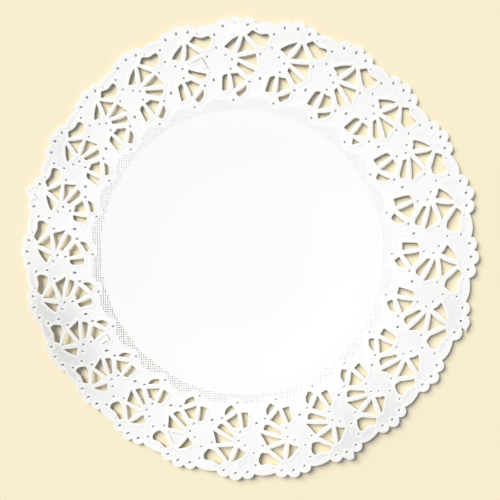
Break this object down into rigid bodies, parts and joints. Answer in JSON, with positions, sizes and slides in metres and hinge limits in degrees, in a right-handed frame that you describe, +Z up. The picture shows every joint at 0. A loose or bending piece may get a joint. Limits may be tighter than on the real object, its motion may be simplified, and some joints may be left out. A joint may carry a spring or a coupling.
{
  "type": "paper doily",
  "caption": "Round white paper doily with a plain flat centre, a narrow ring of fine net and a wide pierced lace border with a scalloped edge, lying face up.",
  "frame": {"origin": "under the middle of the sheet, on the surface that it lies on", "axes": "+Z up, square to the sheet; +X and +Y in the plane of the sheet"},
  "size_m": [0.2531, 0.2543, 0.0038],
  "materials": {
    "paper": "matt white embossed paper"
  },
  "bodies": {
    "root": {"doily": "paper"}
  },
  "joints": []
}
